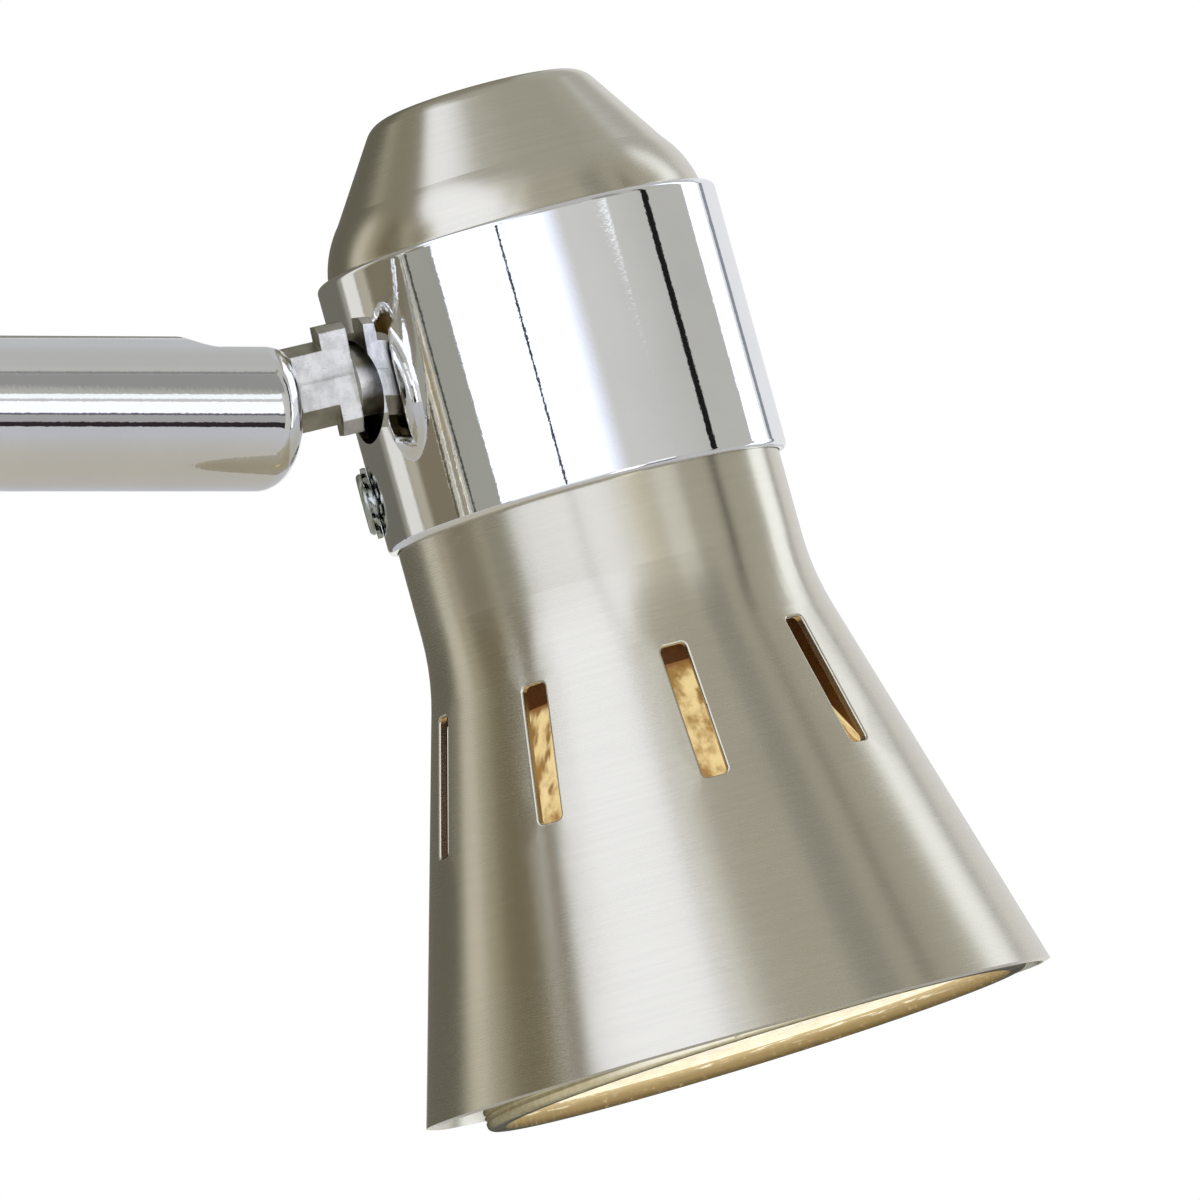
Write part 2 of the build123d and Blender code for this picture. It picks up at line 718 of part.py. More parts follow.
with BuildPart() as canopy_studs:
    with BuildSketch(Plane.XY.offset(-strap_thick)):
        with Locations(*studs):
            Circle(stud_r)
    extrude(amount=strap_thick - rose_depth - stud_past)
write(canopy_studs, "canopy_studs")

with BuildPart() as canopy_nuts:
    with BuildSketch(Plane.XY.offset(-rose_depth)):
        with Locations(*studs):
            RegularPolygon(nut_r, 6, major_radius=False)
    extrude(amount=-nut_high)
    with Locations(*[(x, y, -rose_depth - nut_high) for x, y in studs]):
        Sphere(nut_dome_r)
    with BuildSketch(Plane.XY.offset(-rose_depth)):
        with Locations(*studs):
            Circle(2 * nut_r)
    extrude(amount=2 * nut_dome_r, mode=Mode.SUBTRACT)
    with BuildSketch(Plane.XY.offset(-rose_depth)):
        with Locations(*studs):
            Circle(stud_r + press_gap)
    extrude(amount=-nut_bore, mode=Mode.SUBTRACT)
write(canopy_nuts, "canopy_nuts")

# Stem: hollow nipple with a nut in the rose and a sleeve outside
with BuildPart() as stem_nipple:
    with BuildSketch(Plane.XY.offset(stem_top)):
        Circle(stem_r)
        Circle(stem_bore, mode=Mode.SUBTRACT)
    extrude(amount=tube_top + stem_tube_gap - stem_top)
write(stem_nipple, "stem_nipple")

with BuildPart() as stem_nut:
    with BuildSketch(Plane.XY.offset(-rose_depth + rose_wall)):
        RegularPolygon(stem_nut_r, 6, major_radius=False)
        Circle(stem_r + press_gap, mode=Mode.SUBTRACT)
    extrude(amount=stem_nut_high)
write(stem_nut, "stem_nut")

with BuildPart() as stem_sleeve:
    with BuildSketch(Plane.XY.offset(-rose_depth)):
        Circle(sleeve_r)
        Circle(stem_r + press_gap, mode=Mode.SUBTRACT)
    extrude(amount=sleeve_bottom + rose_depth)
write(stem_sleeve, "stem_sleeve")

# Saddle that clasps the bar under the stem
with BuildPart() as bar_collar:
    with BuildSketch(Plane.YZ.offset(-collar_half)):
        with Locations((0, -bar_drop)):
            Circle(collar_r)
    extrude(amount=2 * collar_half)
    fillet(bar_collar.edges().filter_by(GeomType.CIRCLE), collar_edge)
    with BuildSketch(Plane.XY.offset(sleeve_bottom)):
        Circle(sleeve_r)
    extrude(amount=-bar_drop - sleeve_bottom)
    with BuildSketch(Plane.YZ.offset(-collar_half)):
        with Locations((0, -bar_drop)):
            Circle(tube_r + press_gap)
    extrude(amount=2 * collar_half, mode=Mode.SUBTRACT)
    with BuildSketch(Plane.XY.offset(sleeve_bottom)):
        Circle(stem_r + press_gap)
    extrude(amount=-bar_drop - sleeve_bottom, mode=Mode.SUBTRACT)
    with BuildSketch(Plane.XZ.offset(-collar_r)):
        with Locations((0, -bar_drop)):
            Circle(stud_r + press_gap)
    extrude(amount=collar_r, mode=Mode.SUBTRACT)
write(bar_collar, "bar_collar")

with BuildPart() as collar_grub_screw:
    with BuildSketch(Plane.XZ.offset(-tube_r - run_gap)):
        with Locations((0, -bar_drop)):
            Circle(stud_r)
    extrude(amount=-grub_length)
    with BuildSketch(Plane.XZ.offset(-tube_r - run_gap - grub_length)):
        with Locations((0, -bar_drop)):
            RegularPolygon(grub_key_r, 6, major_radius=False)
    extrude(amount=grub_key_depth, mode=Mode.SUBTRACT)
write(collar_grub_screw, "collar_grub_screw")

# Terminal block under the ear, its clamp screws, and the earth screw in the strap
clamp_spots = [(x, y) for x in (-clamp_x, 0.0, clamp_x) for y in clamp_rows]
with BuildPart() as terminal_block:
    with BuildSketch(Plane.XY.offset(-strap_thick)):
        with Locations((0, (terminal_front + ear_end) / 2)):
            Rectangle(2 * terminal_half, ear_end - terminal_front)
    extrude(amount=terminal_bottom + strap_thick)
    fillet(terminal_block.edges().filter_by(Axis.Z), terminal_edge)
    with BuildSketch(Plane.XY.offset(terminal_bottom)):
        with Locations(*clamp_spots):
            Circle(clamp_hole_r)
    extrude(amount=clamp_hole_depth, mode=Mode.SUBTRACT)
    with BuildSketch(Plane.XZ.offset(-terminal_front)):
        with Locations((0, core_level)):
            RectangleRounded(*entry_size, terminal_edge)
    extrude(amount=-entry_depth, mode=Mode.SUBTRACT)
write(terminal_block, "terminal_block")

with BuildPart() as terminal_screws:
    with BuildSketch(Plane.XY.offset(terminal_bottom + clamp_screw_inset)):
        with Locations(*clamp_spots):
            Circle(clamp_screw_r)
    extrude(amount=clamp_hole_depth - clamp_screw_inset)
    with BuildSketch(Plane.XY.offset(terminal_bottom + clamp_screw_inset)):
        with Locations(*clamp_spots):
            Rectangle(*clamp_slot)
    extrude(amount=clamp_slot_depth, mode=Mode.SUBTRACT)
write(terminal_screws, "terminal_screws")

with BuildPart() as earth_screw:
    with BuildSketch(Plane.XY.offset(-strap_thick)):
        with Locations((earth_x, 0)):
            Circle(earth_head_r)
    extrude(amount=-earth_head_high)
    fillet(earth_screw.edges().group_by(Axis.Z)[0], earth_round)
    with BuildSketch():
        with Locations((earth_x, 0)):
            Circle(earth_r)
    extrude(amount=-strap_thick)
    with BuildSketch(Plane.XY.offset(-strap_thick - earth_head_high)):
        with Locations((earth_x, 0)):
            Rectangle(*earth_cross)
            Rectangle(*reversed(earth_cross))
    extrude(amount=earth_cross_depth, mode=Mode.SUBTRACT)
write(earth_screw, "earth_screw")

# Cores from the terminal block down the stem and along the bar to each hinge
lead_end = pivot_x - eye_r - core_cut
with BuildPart() as bar_leads:
    for side in (1, -1):
        for drop_x, level, bend in core_drops:
            with BuildLine() as route:
                FilletPolyline((side * drop_x, terminal_front + core_entry, core_level),
                               (side * drop_x, 0, core_level),
                               (side * drop_x, 0, level - bar_drop),
                               (side * lead_end, 0, level - bar_drop), radius=bend)
            with BuildSketch(Plane(route.line @ 0, z_dir=route.line % 0)):
                Circle(core_r)
            sweep(path=route.line)
write(bar_leads, "bar_leads")
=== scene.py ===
import json
import math

import bmesh
import bpy
from mathutils import Matrix, Vector


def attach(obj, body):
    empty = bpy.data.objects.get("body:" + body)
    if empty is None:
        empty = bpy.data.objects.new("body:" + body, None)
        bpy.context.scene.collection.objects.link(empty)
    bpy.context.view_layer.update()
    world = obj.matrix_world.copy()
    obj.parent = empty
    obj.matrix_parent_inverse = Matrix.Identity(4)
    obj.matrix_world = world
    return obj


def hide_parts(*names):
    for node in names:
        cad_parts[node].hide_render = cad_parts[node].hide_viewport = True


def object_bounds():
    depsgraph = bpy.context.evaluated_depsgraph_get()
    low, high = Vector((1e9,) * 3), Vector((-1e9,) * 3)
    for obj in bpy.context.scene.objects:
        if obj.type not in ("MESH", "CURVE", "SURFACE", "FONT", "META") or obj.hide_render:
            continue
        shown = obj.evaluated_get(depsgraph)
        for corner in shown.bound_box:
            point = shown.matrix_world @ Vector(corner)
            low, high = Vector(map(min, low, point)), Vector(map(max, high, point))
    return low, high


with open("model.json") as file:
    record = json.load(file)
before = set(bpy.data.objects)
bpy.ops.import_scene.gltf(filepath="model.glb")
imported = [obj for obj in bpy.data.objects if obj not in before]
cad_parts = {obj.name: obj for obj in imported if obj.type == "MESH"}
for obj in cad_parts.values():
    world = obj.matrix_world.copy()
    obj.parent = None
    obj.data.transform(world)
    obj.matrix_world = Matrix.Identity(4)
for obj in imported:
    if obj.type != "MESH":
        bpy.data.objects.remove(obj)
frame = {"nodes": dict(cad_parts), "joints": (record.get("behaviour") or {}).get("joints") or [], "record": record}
cad_low, cad_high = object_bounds()

# Two-lamp ceiling bar in chrome and brushed nickel. Metres and degrees, in the frame of the part.

# Camera: nearly level, a little to the left of square on, with a long lens
view_azimuth = -22.0
view_elevation = 0.5
view_centre = Vector((0.14609, -0.00190, -0.07445))
view_width = 0.10692
view_distance = 1.045
sensor = 0.036

# Heads: the mouths are turned a little towards the front
swivel_rest = 10.0

# Lamps: radii, and heights along their own axis from the lampholder's seat
lamp_radius = 0.025
lamp_bore = 0.0234  # inside of the rim
lamp_front = -0.0604
lamp_rim_back = -0.0572
lamp_waist = (0.0212, -0.0454)  # a point on the outside of the bowl
lamp_waist_inside = (0.0198, -0.0463)
lamp_bowl_back = -0.0253
lamp_back_radius = 0.0115
lamp_neck_radius = 0.0085
rim_edge = 0.0005
rim_grooves = (-0.0595, -0.0590, -0.0584)
groove_depth = 0.00012
lens_inset = 0.00143
lens_thick = 0.0016
lens_radius = 0.02335
front_skew = (-0.0087, -0.0306, 0.00062)  # the front's slope along X and Y, and its lift
lamp_turns = 192
dimple_columns = 24
dimple_rows = 9
dimple_depth = 0.0005
dimple_steps = 6  # mesh rows in each row of dimples
bowl_steps = 24
rim_steps = 4
lens_hole = 0.00002  # keeps the middle of the lens from closing to a point
sharp_edge = math.radians(30)

# Floor, well below the fixture
floor_drop = 0.34
floor_radius = 1.3
floor_turns = 160

joints = {joint["name"]: joint for joint in frame["joints"]}
nodes = frame["nodes"]
sides = ("right", "left")


def head_frame(side):
    """Matrix of a head: X along its neck, Z up its axis, origin where the two cross."""
    neck = Vector(joints[f"{side}_swivel"]["axis"])
    across = -Vector(joints[f"{side}_tilt"]["axis"])
    upright = neck.cross(across)
    turn = math.radians(swivel_rest)
    up = upright * math.cos(turn) + across * math.sin(turn)
    turned = Matrix((neck, up.cross(neck), up)).transposed().to_4x4()
    return Matrix.Translation(joints[f"{side}_swivel"]["pos_m"]) @ turned


class Tree:
    """A node tree, with short calls for the nodes that the materials here share."""

    def __init__(self, tree):
        self.tree = tree
        tree.nodes.clear()

    def add(self, kind, inputs=None, **settings):
        """Add a node. An input that is a socket is linked, anything else is a value."""
        node = self.tree.nodes.new(kind)
        for name, value in settings.items():
            setattr(node, name, value)
        for name, value in (inputs or {}).items():
            if isinstance(value, bpy.types.NodeSocket):
                self.tree.links.new(value, node.inputs[name])
            else:
                node.inputs[name].default_value = value
        return node

    def math(self, operation, a, b=0.0):
        return self.add("ShaderNodeMath", {0: a, 1: b}, operation=operation).outputs[0]

    def vector(self, operation, a, b=(0, 0, 0)):
        return self.add("ShaderNodeVectorMath", {0: a, 1: b}, operation=operation).outputs[0]

    def span(self, value, low, high, to_low=0.0, to_high=1.0, smooth=True):
        """Map a value from one span to another, clamped."""
        kind = "SMOOTHSTEP" if smooth else "LINEAR"
        places = {"Value": value, "From Min": low, "From Max": high,
                  "To Min": to_low, "To Max": to_high}
        return self.add("ShaderNodeMapRange", places, interpolation_type=kind).outputs[0]

    def mix(self, factor, a, b):
        """Mix two colours."""
        node = self.add("ShaderNodeMix", data_type="RGBA")
        for place, value in ((0, factor), (6, a), (7, b)):
            if isinstance(value, bpy.types.NodeSocket):
                self.tree.links.new(value, node.inputs[place])
            else:
                node.inputs[place].default_value = value if place == 0 else (*value, 1.0)
        return node.outputs[2]

    def noise(self, vector, scale, detail=2.0, roughness=0.5):
        places = {"Vector": vector, "Scale": scale, "Detail": detail, "Roughness": roughness}
        return self.add("ShaderNodeTexNoise", places).outputs[0]

    def place(self, frame_matrix=None, scale=(1, 1, 1)):
        """Rest coordinates in metres, in this frame, divided by scale."""
        rest = self.add("ShaderNodeTexCoord").outputs["Object"]
        if frame_matrix is None:
            frame_matrix = Matrix.Identity(4)
        places = {"Vector": rest, "Location": frame_matrix.to_translation(),
                  "Rotation": frame_matrix.to_euler(), "Scale": scale}
        return self.add("ShaderNodeMapping", places, vector_type="TEXTURE").outputs[0]

    def bump(self, height, distance, strength=1.0, normal=None):
        places = {"Height": height, "Distance": distance, "Strength": strength}
        if normal is not None:
            places["Normal"] = normal
        return self.add("ShaderNodeBump", places).outputs[0]


def material(name):
    made = bpy.data.materials.new(name)
    made.use_nodes = True
    return made, Tree(made.node_tree)


def principled(tree, inputs):
    shader = tree.add("ShaderNodeBsdfPrincipled", inputs)
    tree.add("ShaderNodeOutputMaterial", {"Surface": shader.outputs[0]})


def chrome(name, polish_depth):
    """Bright plate: faint ripples, polishing marks of this depth and a few dull smudges."""
    made, tree = material(name)
    place = tree.place()
    ripple = tree.noise(place, 110.0, 1.0)
    polish = tree.noise(place, 2600.0, 2.0)
    smudge = tree.noise(place, 70.0, 5.0, 0.65)
    soft = tree.bump(ripple, 0.000012)
    principled(tree, {
        "Base Color": tree.mix(tree.span(smudge, 0.35, 0.75), (0.95, 0.955, 0.96), (0.90, 0.905, 0.91)),
        "Metallic": 1.0,
        "Roughness": tree.span(smudge, 0.4, 0.8, 0.02, 0.05),
        "Normal": tree.bump(polish, polish_depth, 1.0, soft),
    })
    return made


def brushed(name, axis_frame, inner_shade_share=0.0):
    """Nickel plate, brushed round an axis: streaks, and gloss drawn out along the axis.

    The inner face, away from the mouth, is darkened to brown by this share: painted shade."""
    made, tree = material(name)
    place = tree.place(axis_frame)
    streak_place = tree.place(axis_frame, (0.0022, 0.0022, 0.00006))
    long_place = tree.place(axis_frame, (0.012, 0.012, 0.0004))
    streak = tree.noise(streak_place, 1.0, 3.0, 0.6)
    long_streak = tree.noise(long_place, 1.0, 2.0)
    cloud = tree.noise(place, 45.0, 3.0)
    axis = axis_frame.to_3x3().col[2]
    rest = tree.vector("SUBTRACT", tree.add("ShaderNodeTexCoord").outputs["Object"],
                       axis_frame.to_translation())
    around_rest = tree.vector("CROSS_PRODUCT", axis, rest)
    around = tree.add("ShaderNodeVectorTransform", {"Vector": around_rest}, vector_type="VECTOR",
                      convert_from="OBJECT", convert_to="WORLD").outputs[0]
    outward = tree.add("ShaderNodeNewGeometry").outputs["Normal"]
    along = tree.vector("NORMALIZE", tree.vector("CROSS_PRODUCT", around, outward))
    tone = tree.math("ADD", tree.math("MULTIPLY", streak, 0.6), tree.math("MULTIPLY", long_streak, 0.4))
    plate = tree.mix(tree.span(tone, 0.3, 0.7), (0.66, 0.622, 0.505), (0.70, 0.66, 0.535))
    from_axis = tree.vector("CROSS_PRODUCT", around_rest, axis)
    facing = tree.add("ShaderNodeVectorMath", {0: tree.add("ShaderNodeTexCoord").outputs["Normal"],
                                               1: from_axis}, operation="DOT_PRODUCT")
    # Painted shade: the inner face turns brown away from the lit mouth
    within = tree.span(facing.outputs["Value"], -0.002, 0.0, inner_shade_share, 0.0)
    height = tree.add("ShaderNodeSeparateXYZ", {0: place}).outputs["Z"]
    painted_inner_shade = tree.math("MULTIPLY", within, tree.span(height, -0.060, -0.050))
    rough = tree.math("ADD", tree.span(streak, 0.3, 0.7, 0.23, 0.28, False),
                      tree.span(cloud, 0.3, 0.7, -0.02, 0.02))
    principled(tree, {
        "Base Color": tree.mix(painted_inner_shade, plate, (0.30, 0.19, 0.10)),
        "Metallic": 1.0,
        "Roughness": rough,
        "Anisotropic": 0.76,
        "Tangent": along,
        "Normal": tree.bump(streak, 0.000001),
    })
    return made


def die_cast():
    """Tumbled zinc casting: bright, scratched flats, and bevels and ends painted a patchy dark olive as painted
    shade.
    """
    made, tree = material("die_cast")
    place = tree.place()
    pit = tree.noise(place, 1500.0, 4.0, 0.65)
    patch = tree.noise(place, 420.0, 5.0, 0.65)
    scratch = tree.noise(tree.place(None, (0.0011, 0.0004, 0.00007)), 1.0, 3.0)
    soft = tree.add("ShaderNodeBevel", {"Radius": 0.00022}, samples=6).outputs[0]
    facing = tree.add("ShaderNodeSeparateXYZ", {0: tree.add("ShaderNodeTexCoord").outputs["Normal"]})
    # Faces that don't look along Y get painted shade: a patchy dark olive on the bevels and ends
    flat = tree.span(tree.math("ABSOLUTE", facing.outputs["Y"]), 0.86, 0.97)
    painted_side_shade = tree.mix(tree.span(patch, 0.35, 0.65), (0.28, 0.265, 0.20), (0.42, 0.40, 0.32))
    worn = tree.mix(tree.span(patch, 0.36, 0.62), (0.66, 0.665, 0.67), (0.98, 0.98, 0.99))
    worn = tree.mix(tree.span(scratch, 0.62, 0.74), worn, (0.55, 0.55, 0.55))
    principled(tree, {
        "Base Color": tree.mix(flat, painted_side_shade, worn),
        "Metallic": 1.0,
        "Roughness": tree.span(patch, 0.3, 0.7, 0.34, 0.5),
        "Normal": tree.bump(pit, 0.00003, 0.8, soft),
    })
    return made


def zinc_plated():
    """Zinc plate: grey-green with cloudy patches."""
    made, tree = material("zinc_plated_steel")
    place = tree.place()
    cloud = tree.noise(place, 420.0, 4.0, 0.6)
    grain = tree.noise(place, 3000.0, 2.0)
    soft = tree.add("ShaderNodeBevel", {"Radius": 0.00012}, samples=6).outputs[0]
    principled(tree, {
        "Base Color": tree.mix(tree.span(cloud, 0.35, 0.65), (0.48, 0.51, 0.46), (0.66, 0.69, 0.64)),
        "Metallic": 1.0,
        "Roughness": tree.span(cloud, 0.3, 0.7, 0.18, 0.34),
        "Normal": tree.bump(grain, 0.000006, 1.0, soft),
    })
    return made


def brass():
    """Turned brass, a little dull in places."""
    made, tree = material("brass")
    place = tree.place()
    turned = tree.noise(tree.place(None, (0.004, 0.004, 0.0002)), 1.0, 2.0)
    dull = tree.noise(place, 260.0, 4.0)
    principled(tree, {
        "Base Color": tree.mix(tree.span(dull, 0.35, 0.7), (0.80, 0.62, 0.30), (0.55, 0.41, 0.19)),
        "Metallic": 1.0,
        "Roughness": tree.span(dull, 0.3, 0.7, 0.2, 0.38),
        "Normal": tree.bump(turned, 0.000008),
    })
    return made


def ceramic(name, deep, pale):
    """Unglazed steatite, faintly speckled."""
    made, tree = material(name)
    place = tree.place()
    speck = tree.noise(place, 1800.0, 3.0)
    cloud = tree.noise(place, 140.0, 3.0)
    tone = tree.math("ADD", tree.math("MULTIPLY", speck, 0.5), tree.math("MULTIPLY", cloud, 0.5))
    principled(tree, {
        "Base Color": tree.mix(tree.span(tone, 0.35, 0.65), deep, pale),
        "Roughness": tree.span(speck, 0.3, 0.7, 0.5, 0.7),
        "Normal": tree.bump(speck, 0.00002, 0.6),
    })
    return made


def moulded(name, pale, deep):
    """Moulded plastic with a fine satin grain."""
    made, tree = material(name)
    place = tree.place()
    grain = tree.noise(place, 2400.0, 2.0)
    cloud = tree.noise(place, 120.0, 3.0)
    principled(tree, {
        "Base Color": tree.mix(tree.span(cloud, 0.35, 0.65), deep, pale),
        "Roughness": tree.span(grain, 0.3, 0.7, 0.38, 0.52),
        "Normal": tree.bump(grain, 0.00001, 0.5),
    })
    return made


def front_level(tree, lamp_frame):
    """Height above the lamp's skewed front."""
    slope_x, slope_y, lift = front_skew
    along = tree.add("ShaderNodeVectorMath", {0: tree.place(lamp_frame), 1: (-slope_x, -slope_y, 1)},
                     operation="DOT_PRODUCT").outputs["Value"]
    return tree.math("SUBTRACT", along, lamp_front + lift)


def round_lamp(tree, lamp_frame, stretch):
    """Place on the lamp's wall, for ribs that run along its axis."""
    parts = tree.add("ShaderNodeSeparateXYZ", {0: tree.place(lamp_frame)}).outputs
    angle = tree.math("ARCTAN2", parts["Y"], parts["X"])
    places = {"X": angle, "Y": tree.math("MULTIPLY", parts["Z"], stretch)}
    return tree.add("ShaderNodeCombineXYZ", places).outputs[0]


def lamp_coat(name, lamp_frame):
    """Outside of a lit lamp's bowl: gold coating with swirls, and painted shade that darkens its glow to brown
    towards the back.
    """
    made, tree = material(name)
    height = tree.add("ShaderNodeSeparateXYZ", {0: tree.place(lamp_frame)}).outputs["Z"]
    swirl = tree.noise(tree.place(lamp_frame, (0.0035, 0.0035, 0.006)), 1.0, 5.0, 0.65)
    streak = tree.noise(tree.place(lamp_frame, (0.0012, 0.0012, 0.012)), 1.0, 3.0)
    gold = tree.mix(tree.span(swirl, 0.40, 0.60), (0.36, 0.20, 0.055), (0.94, 0.74, 0.36))
    gold = tree.mix(tree.span(streak, 0.56, 0.72), gold, (0.30, 0.17, 0.05))
    # Painted shade: the glow turns dark brown towards the back of the bowl
    back = tree.span(height, lamp_bowl_back - 0.0008, lamp_bowl_back)
    principled(tree, {
        "Base Color": tree.mix(swirl, (0.20, 0.12, 0.04), (0.34, 0.22, 0.08)),
        "Roughness": tree.span(streak, 0.3, 0.7, 0.15, 0.3),
        "Emission Color": tree.mix(back, gold, (0.26, 0.12, 0.04)),
        "Emission Strength": 0.85,
    })
    return made


def lamp_rim(name, lamp_frame):
    """Thick glass rim of a lit lamp: light shows through where it is seen square on."""
    made, tree = material(name)
    level = front_level(tree, lamp_frame)
    rib = tree.noise(round_lamp(tree, lamp_frame, 60.0), 30.0, 3.0, 0.6)
    slant = tree.add("ShaderNodeLayerWeight", {"Blend": 0.5}).outputs["Facing"]
    glow = tree.mix(tree.span(slant, 0.02, 0.24), (0.96, 0.92, 0.76), (0.46, 0.40, 0.24))
    glow = tree.mix(tree.span(slant, 0.24, 0.62), glow, (0.20, 0.17, 0.09))
    glow = tree.mix(tree.span(slant, 0.70, 0.95), glow, (0.02, 0.02, 0.016))
    for groove in rim_grooves:
        off = tree.math("ABSOLUTE", tree.math("SUBTRACT", level, groove - lamp_front))
        glow = tree.mix(tree.span(off, 0.00006, 0.00014, 0.75, 0.0), glow, (0.13, 0.10, 0.045))
    principled(tree, {
        "Base Color": tree.mix(tree.span(rib, 0.35, 0.65), (0.10, 0.10, 0.085), (0.20, 0.20, 0.175)),
        "Roughness": tree.span(rib, 0.3, 0.7, 0.06, 0.16),
        "Specular IOR Level": 0.0,
        "Emission Color": tree.mix(tree.span(rib, 0.62, 0.78), glow, (0.30, 0.26, 0.15)),
        "Emission Strength": 0.9,
        "Normal": tree.bump(rib, 0.00002),
    })
    return made


def lamp_lip(name, lamp_frame):
    """Inside of the rim, in front of the lens: gold-brown, with a painted glow that brightens towards the lens and
    painted glints by it.
    """
    made, tree = material(name)
    depth = tree.math("DIVIDE", front_level(tree, lamp_frame), lens_inset)
    rib = tree.noise(round_lamp(tree, lamp_frame, 60.0), 30.0, 3.0, 0.6)
    spark = tree.noise(round_lamp(tree, lamp_frame, 600.0), 5.5, 4.0, 0.7)
    # Painted light: the glow brightens with depth towards the lens
    glow = tree.mix(tree.span(depth, 0.0, 0.5), (0.075, 0.058, 0.028), (0.30, 0.22, 0.10))
    glow = tree.mix(tree.span(depth, 0.45, 1.1), glow, (0.64, 0.50, 0.27))
    glow = tree.mix(tree.span(rib, 0.58, 0.75, 0.0, 0.5), glow, (0.74, 0.60, 0.34))
    # Painted glints: bright specks by the lens, standing in for reflections of the capsule
    painted_glint = tree.math("MULTIPLY", tree.span(spark, 0.54, 0.62), tree.span(depth, 0.5, 0.8))
    principled(tree, {
        "Base Color": tree.mix(rib, (0.06, 0.045, 0.02), (0.12, 0.09, 0.04)),
        "Roughness": tree.span(rib, 0.3, 0.7, 0.2, 0.4),
        "Specular IOR Level": 0.05,
        "Emission Color": tree.mix(painted_glint, glow, (1.0, 0.93, 0.70)),
        "Emission Strength": 0.95,
    })
    return made


def lamp_mirror(name):
    """Dimpled mirror inside the bowl, lit by the capsule."""
    made, tree = material(name)
    haze = tree.noise(tree.place(), 500.0, 3.0)
    principled(tree, {
        "Base Color": tree.mix(haze, (0.88, 0.80, 0.60), (0.97, 0.92, 0.78)),
        "Metallic": 1.0,
        "Roughness": tree.span(haze, 0.3, 0.7, 0.10, 0.20),
        "Emission Color": tree.mix(haze, (0.80, 0.54, 0.24), (1.0, 0.76, 0.42)),
        "Emission Strength": 0.4,
    })
    return made


def lamp_lens(name, lamp_frame):
    """Front glass of a lit lamp: clear from below; where it is seen along its face, a pale ribbed glow is painted
    on as a painted reflection.
    """
    made, tree = material(name)
    rib = tree.noise(tree.place(lamp_frame, (0.0016, 0.0016, 1.0)), 1.0, 3.0, 0.6)
    slant = tree.add("ShaderNodeLayerWeight", {"Blend": 0.5}).outputs["Facing"]
    # Painted reflection: pale ribbed glow where the glass is seen along its face
    pale = tree.mix(tree.span(rib, 0.35, 0.65), (0.36, 0.38, 0.36), (0.52, 0.54, 0.51))
    principled(tree, {
        "Base Color": (1.0, 0.98, 0.92, 1.0),
        "Roughness": 0.12,
        "IOR": 1.2,
        "Transmission Weight": 1.0,
        "Emission Color": tree.mix(tree.span(slant, 0.6, 0.9), (0.03, 0.026, 0.018), pale),
        "Emission Strength": 1.0,
        "Normal": tree.bump(rib, 0.00002),
    })
    return made


def clear_glass(name, tint, glow, strength):
    """Clear glass with a little warm light in it."""
    made, tree = material(name)
    wave = tree.noise(tree.place(), 300.0, 2.0)
    principled(tree, {
        "Base Color": (*tint, 1.0),
        "Roughness": 0.04,
        "IOR": 1.47,
        "Transmission Weight": 1.0,
        "Emission Color": (*glow, 1.0),
        "Emission Strength": strength,
        "Normal": tree.bump(wave, 0.00001),
    })
    return made


def lamp_frame(side):
    """Matrix of a lamp: Z up its twist axis, origin on the lampholder's seat."""
    twist = joints[f"{side}_lamp_twist"]
    turn = Vector((0, 0, 1)).rotation_difference(Vector(twist["axis"]))
    return Matrix.Translation(twist["pos_m"]) @ turn.to_matrix().to_4x4()


def through(start, middle, end, share):
    """Point on a smooth curve through three points."""
    weights = ((2 * share - 1) * (share - 1), 4 * share * (1 - share), share * (2 * share - 1))
    return tuple(sum(w * point[k] for w, point in zip(weights, (start, middle, end))) for k in (0, 1))


def bowl_outline():
    """Outline of the lamp's glass as (radius, height, dimple share, zone of the strip after it)."""
    rim, outside, inside, bore = range(4)
    outline = [(lamp_bore, lamp_front, 0, rim)]
    for step in range(rim_steps + 1):
        turn = math.pi / 2 * (1 - step / rim_steps)
        outline.append((lamp_radius - rim_edge + rim_edge * math.cos(turn),
                        lamp_front + rim_edge - rim_edge * math.sin(turn), 0, rim))
    for level in rim_grooves:
        for depth, rise in ((0, -1.5), (groove_depth, -0.5), (groove_depth, 0.5), (0, 1.5)):
            outline.append((lamp_radius - depth, level + rise * groove_depth, 0, rim))
    for step in range(bowl_steps + 1):
        point = through((lamp_radius, lamp_rim_back), lamp_waist,
                        (lamp_back_radius, lamp_bowl_back), step / bowl_steps)
        outline.append((*point, 0, outside))
    rows = dimple_steps * dimple_rows
    for step in range(rows + 1):
        point = through((lamp_neck_radius, lamp_bowl_back), lamp_waist_inside,
                        (lamp_bore, lamp_rim_back), step / rows)
        dimple = abs(math.sin(math.pi * step / dimple_steps))
        outline.append((*point, dimple, inside if step < rows else bore))
    return outline


def lens_outline():
    """Outline of the front glass, in the same form."""
    low = lamp_front + lens_inset
    corners = ((lens_hole, low), (lens_radius - rim_edge, low), (lens_radius, low + rim_edge),
               (lens_radius, low + lens_thick), (lens_hole, low + lens_thick))
    return [(*corner, 0, 0) for corner in corners]


def skewed(radius, height, dimple, angle):
    """Point on the lamp, whose front is a little skewed and whose inside is dimpled."""
    radius -= dimple_depth * dimple * abs(math.sin(angle * dimple_columns / 2))
    x, y = radius * math.cos(angle), radius * math.sin(angle)
    share = min(max((lamp_waist[1] - height) / (lamp_waist[1] - lamp_rim_back), 0), 1)
    share = share * share * (3 - 2 * share)
    slope_x, slope_y, lift = front_skew
    return Vector((x, y, height + share * (slope_x * x + slope_y * y + lift)))


